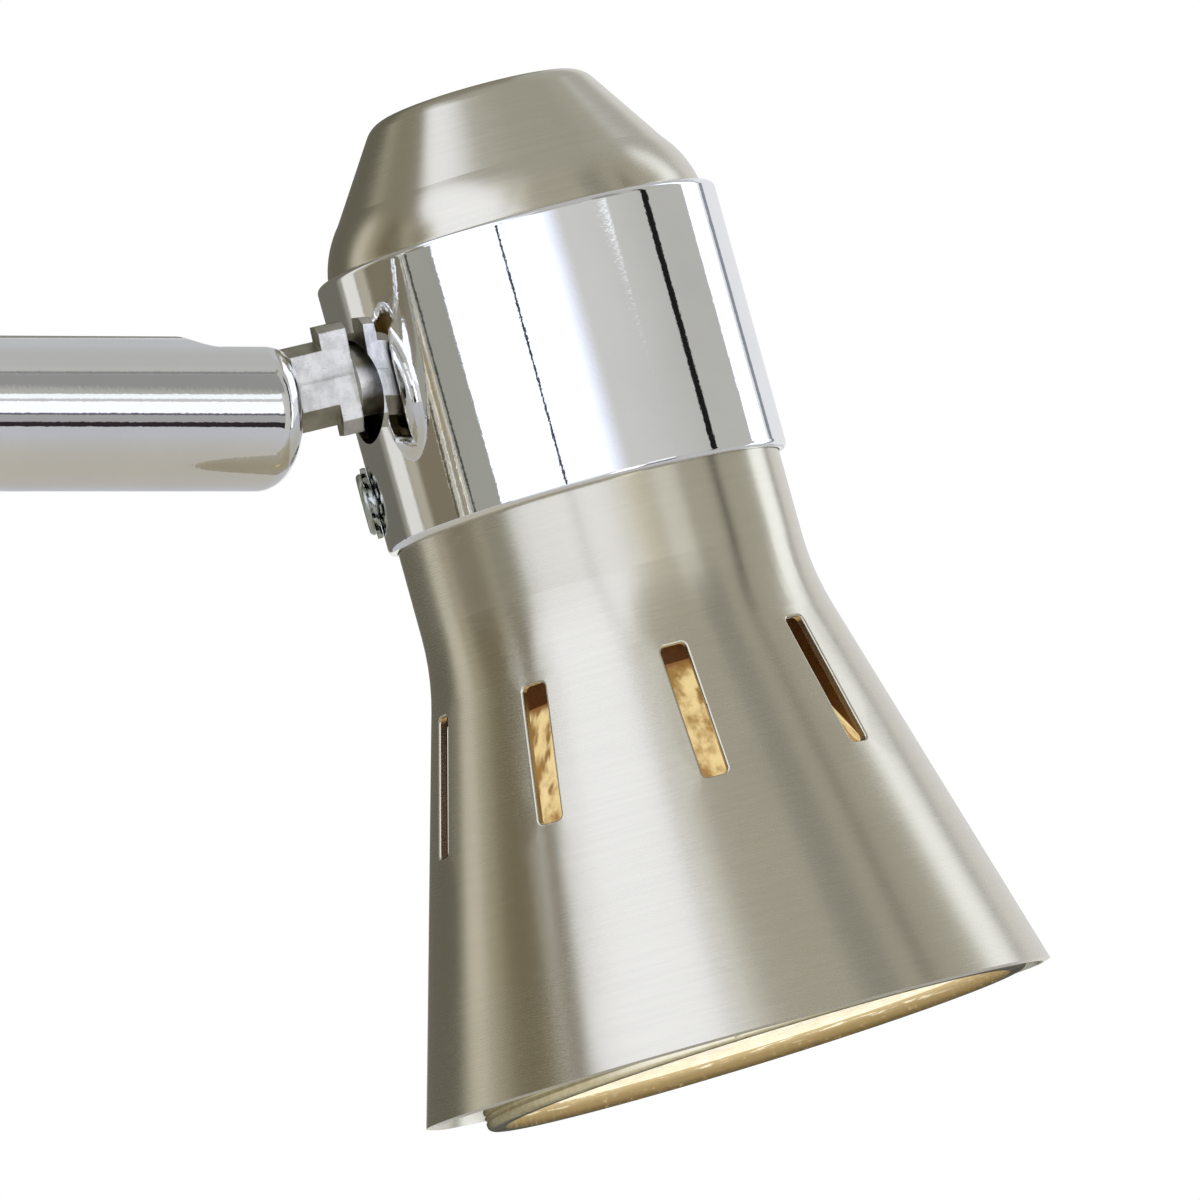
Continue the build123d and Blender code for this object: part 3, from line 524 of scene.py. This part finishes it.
def lathe(name, outline, place, finishes):
    """Turn a closed outline round the lamp's axis."""
    builder = bmesh.new()
    rings = []
    angles = [2 * math.pi * step / lamp_turns for step in range(lamp_turns)]
    for radius, height, dimple, _ in outline:
        points = [place @ skewed(radius, height, dimple, angle) for angle in angles]
        rings.append([builder.verts.new(point) for point in points])
    for index, (*_, zone) in enumerate(outline):
        near, far = rings[index], rings[(index + 1) % len(rings)]
        for step in range(lamp_turns):
            after = (step + 1) % lamp_turns
            face = builder.faces.new((near[step], near[after], far[after], far[step]))
            face.material_index = zone
            face.smooth = True
    bmesh.ops.recalc_face_normals(builder, faces=builder.faces)
    for edge in builder.edges:
        edge.smooth = edge.calc_face_angle(0) < sharp_edge
    mesh = bpy.data.meshes.new(name)
    builder.to_mesh(mesh)
    builder.free()
    for finish in finishes:
        mesh.materials.append(finish)
    piece = bpy.data.objects.new(name, mesh)
    bpy.context.scene.collection.objects.link(piece)
    return piece


def lamp(side):
    """A lit lamp's bowl and front glass, in place of the plain ones."""
    place = lamp_frame(side)
    finishes = [lamp_rim(f"lamp_rim_{side}", place), lamp_coat(f"lamp_coat_{side}", place),
                lamp_mirror(f"lamp_mirror_{side}"), lamp_lip(f"lamp_lip_{side}", place)]
    bowl = lathe(f"{side}_lamp_bowl", bowl_outline(), place, finishes)
    lens = lathe(f"{side}_lamp_lens", lens_outline(), place, [lamp_lens(f"lamp_lens_{side}", place)])
    for piece, node, slot in ((bowl, "lamp_reflector", "reflector_glass"),
                              (lens, "lamp_front_glass", "front_glass")):
        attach(piece, f"{side}_lamp")
        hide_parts(f"{side}_{node}")


def dress_nodes():
    """Give every node the finish of its slot, turned to its own head where that matters, except the lamp glass
    that the new lamps replace.
    """
    shared = {
        "chrome": chrome("chrome", 0.0000022),
        "die_cast": die_cast(),
        "zinc_plated_steel": zinc_plated(),
        "brass": brass(),
        "ceramic": ceramic("ceramic", (0.74, 0.71, 0.65), (0.83, 0.81, 0.77)),
        "capsule_glass": clear_glass("capsule_glass", (1.0, 0.95, 0.8), (1.0, 0.78, 0.45), 3.0),
        "white_nylon": moulded("white_nylon", (0.84, 0.84, 0.81), (0.76, 0.76, 0.73)),
        "lead_sleeve": moulded("lead_sleeve", (0.80, 0.78, 0.72), (0.70, 0.68, 0.62)),
    }
    finishes = {"": {"brushed_nickel": brushed("brushed_nickel_rose", Matrix.Identity(4))}}
    for side in sides:
        finishes[side] = {
            "brushed_nickel": brushed(f"brushed_nickel_{side}", head_frame(side), 1.0),
        }
    # The lamps' bases get a brown colour: painted warm shade, for the lamp light and shadow they sit in deep
    # inside the heads
    warm_shaded_ceramic = ceramic("ceramic_warm_shaded", (0.52, 0.28, 0.12), (0.66, 0.38, 0.18))
    own = {"bar_tube": chrome("chrome_drawn", 0.000003)}
    for side in sides:
        own[f"{side}_lamp_base"] = warm_shaded_ceramic
    for subpart in frame["record"]["subparts"]:
        name, slot = subpart["node"], subpart["material_slot"]
        side = next((s for s in sides if name.startswith(s + "_")), "")
        if slot in ("reflector_glass", "front_glass"):
            continue
        finish = own.get(name) or shared.get(slot) or finishes[side][slot]
        data = nodes[name].data
        data.materials.clear()
        data.materials.append(finish)


def studio():
    """Light round the fixture: panels and gaps by direction, plain white behind it."""
    world = bpy.data.worlds.new("studio")
    bpy.context.scene.world = world
    world.use_nodes = True
    tree = Tree(world.node_tree)
    direction = tree.add("ShaderNodeTexCoord").outputs["Generated"]
    turn = {"Vector": direction, "Angle": math.radians(-view_azimuth)}
    turned = tree.add("ShaderNodeVectorRotate", turn, rotation_type="Z_AXIS").outputs[0]
    parts = tree.add("ShaderNodeSeparateXYZ", {0: turned}).outputs
    away = tree.math("MULTIPLY", parts["Y"], -1.0)
    azimuth = tree.math("MULTIPLY", tree.math("ARCTAN2", parts["X"], away), math.degrees(1.0))
    elevation = tree.math("MULTIPLY", tree.math("ARCSINE", parts["Z"]), math.degrees(1.0))

    def inside(value, low, high, low_soft, high_soft):
        rise = tree.span(value, low - low_soft, low + low_soft)
        fall = tree.span(value, high - high_soft, high + high_soft, 1.0, 0.0)
        return tree.math("MULTIPLY", rise, fall)

    # Azimuth is from the camera, positive to the right. Each row lies over those before it:
    # name, azimuth from, to, softness of each edge, elevation from, to, softness, colour.
    surroundings = (
        ("back", 100, 180, 8, 1, 28, 90, 6, (0.50, 0.51, 0.52)),
        ("right wall", 10, 116, 6, 1, -90, 90, 2, (0.60, 0.595, 0.58)),
        ("right wall, far", 60, 116, 35, 1, -90, 90, 2, (0.47, 0.465, 0.44)),
        ("right wall, upper", 0, 112, 6, 4, 26, 62, 4, (0.46, 0.45, 0.42)),
        ("ceiling beam", 46, 66, 2, 2, 29, 56, 2, (0.29, 0.29, 0.28)),
        ("beam edge", 50, 80, 2, 2, 56, 59, 1, (0.24, 0.24, 0.23)),
        ("left wall", -180, -40, 8, 1, -90, 90, 2, (0.30, 0.29, 0.25)),
        ("left corner", -180, -126, 8, 3, -30, 30, 6, (0.15, 0.145, 0.12)),
        ("far wall, right", 163, 181, 3, 1, -30, -3, 2, (0.84, 0.84, 0.81)),
        ("far wall, left", -181, -171, 1, 3, -30, -3, 2, (0.84, 0.84, 0.81)),
        ("low panel", 20, 39, 2, 2, -45, 5, 3, (1.95, 1.92, 1.86)),
        ("pale door", -121, -107, 2, 2, -30, 24, 6, (0.74, 0.73, 0.69)),
        ("tan door", -106, -97, 2, 2, -30, 24, 6, (0.42, 0.39, 0.31)),
        ("brown door", -97, -56, 3, 6, -30, 26, 6, (0.20, 0.175, 0.12)),
        ("door edge", -73.5, -69, 1.2, 0.4, -20, -2, 1, (0.02, 0.02, 0.018)),
        ("grey frame", -69, -40, 0.4, 1, -30, -2, 2, (0.33, 0.33, 0.29)),
        ("frame line", -66.2, -64.8, 0.3, 0.3, -20, -2, 1, (0.07, 0.07, 0.06)),
        ("ceiling", -180, 180, 1, 1, 64, 90, 5, (0.46, 0.46, 0.45)),
    )
    details = (
        ("panel gap", -11.9, -10.6, 0.2, 0.2, -4, 60, 2, (0.05, 0.05, 0.055)),
        ("black flag", 79.3, 84.1, 0.4, 0.4, -4, 45, 4, (0.012, 0.012, 0.012)),
        ("strip panel", 116, 134, 0.6, 0.6, -25, 50, 4, (1.30, 1.38, 1.56)),
        ("strip edge", 137, 141.5, 0.6, 0.6, -25, 50, 4, (0.25, 0.265, 0.31)),
        ("table front", 38, 60, 2, 2, -11.0, -1.5, 0.6, (0.36, 0.355, 0.36)),
        ("table shadow", 38, 60, 2, 2, -20.5, -11.0, 0.6, (0.028, 0.022, 0.026)),
        ("table edge", 38, 60, 2, 2, -1.5, 1.3, 0.4, (0.13, 0.13, 0.16)),
        ("low lamp", 37.0, 54.0, 1.0, 1.0, 1.3, 17.1, 0.4, (1.05, 1.08, 1.15)),
        ("upper lamp", 38.0, 54.0, 1.0, 1.0, 21.0, 27.5, 0.5, (0.98, 1.01, 1.04)),
    )

    def lay(panels, colour):
        for _, a0, a1, a0_soft, a1_soft, e0, e1, e_soft, shade in panels:
            mask = tree.math("MULTIPLY", inside(azimuth, a0, a1, a0_soft, a1_soft),
                             inside(elevation, e0, e1, e_soft, e_soft))
            colour = tree.mix(mask, colour, shade)
        return colour

    # The key panel leans over the fixture: each edge is a plane through it, given by the
    # normal that points into the panel (right, back, up), the edge's softness low down and
    # higher up, and how far it is drawn in halfway up.
    key_edges = (
        ((0.493, -0.616, 0.616), 0.008, 0.07, 0.05),
        ((-0.785, -0.383, -0.488), 0.16, 0.08, 0.12),
        ((-0.191, 0.040, 0.981), 0.03, 0.03, 0.0),
    )
    halfway = inside(elevation, 21, 48, 6, 8)
    key = tree.span(elevation, 80, 84, 1.0, 0.0)
    for normal, soft_low, soft_high, drawn_in in key_edges:
        depth = tree.add("ShaderNodeVectorMath", {0: turned, 1: normal}, operation="DOT_PRODUCT")
        drawn = tree.math("SUBTRACT", depth.outputs["Value"], tree.math("MULTIPLY", halfway, drawn_in))
        soft = tree.span(elevation, 15, 28, soft_low, soft_high)
        edge = tree.span(drawn, tree.math("MULTIPLY", soft, -1.0), soft)
        key = tree.math("MULTIPLY", key, edge)

    colour = lay(surroundings, (0.78, 0.79, 0.82))
    colour = tree.mix(key, colour, (1.24, 1.31, 1.58))
    colour = lay(details, colour)
    path = tree.add("ShaderNodeLightPath").outputs
    plain = tree.math("MAXIMUM", path["Is Camera Ray"], path["Is Transmission Ray"])
    background = tree.add("ShaderNodeBackground", {"Color": tree.mix(plain, colour, (1, 1, 1)),
                                                   "Strength": 1.0})
    tree.add("ShaderNodeOutputWorld", {"Surface": background.outputs[0]})


def floor():
    """Pale round floor that fades into the white behind it, with a painted pool of warm lamp light towards the
    middle.
    """
    made, tree = material("floor")
    place = tree.place()
    parts = tree.add("ShaderNodeSeparateXYZ", {0: place}).outputs
    flat = tree.add("ShaderNodeCombineXYZ", {"X": parts["X"], "Y": parts["Y"]}).outputs[0]
    reach = tree.add("ShaderNodeVectorMath", {0: flat}, operation="LENGTH").outputs["Value"]
    fade = tree.math("MULTIPLY", tree.span(reach, 0.45 * floor_radius, 0.95 * floor_radius),
                     tree.add("ShaderNodeLightPath").outputs["Is Camera Ray"])
    cloud = tree.noise(place, 6.0, 3.0)
    pale = tree.mix(cloud, (0.84, 0.835, 0.82), (0.87, 0.865, 0.855))
    # Painted pool of warm lamp light: the floor turns beige towards the middle
    pale = tree.mix(tree.span(reach, 0.1, 0.85, 1.0, 0.0), pale, (0.80, 0.74, 0.60))
    matt = tree.add("ShaderNodeBsdfDiffuse", {"Color": pale})
    white = tree.add("ShaderNodeEmission", {"Color": (1, 1, 1, 1), "Strength": 1.0})
    shown = tree.add("ShaderNodeMixShader", {0: fade, 1: matt.outputs[0], 2: white.outputs[0]})
    tree.add("ShaderNodeOutputMaterial", {"Surface": shown.outputs[0]})
    mesh = bpy.data.meshes.new("floor")
    builder = bmesh.new()
    bmesh.ops.create_circle(builder, cap_ends=True, segments=floor_turns, radius=floor_radius)
    builder.to_mesh(mesh)
    builder.free()
    mesh.materials.append(made)
    ground = bpy.data.objects.new("floor", mesh)
    ground.location = (0, 0, cad_low.z - floor_drop)
    bpy.context.scene.collection.objects.link(ground)


def camera():
    """Camera at the photograph's angle and framing."""
    data = bpy.data.cameras.new("camera")
    data.sensor_width = sensor * 1000
    data.lens = data.sensor_width * view_distance / view_width
    eye = bpy.data.objects.new("camera", data)
    turn = math.radians(view_azimuth)
    rise = math.radians(view_elevation)
    back = Vector((math.sin(turn) * math.cos(rise), -math.cos(turn) * math.cos(rise), math.sin(rise)))
    eye.location = view_centre + back * view_distance
    eye.rotation_euler = (math.radians(90) - rise, 0, turn)
    bpy.context.scene.collection.objects.link(eye)
    bpy.context.scene.camera = eye


dress_nodes()
for side in sides:
    lamp(side)
studio()
floor()
camera()
bpy.context.scene.view_settings.view_transform = "Standard"
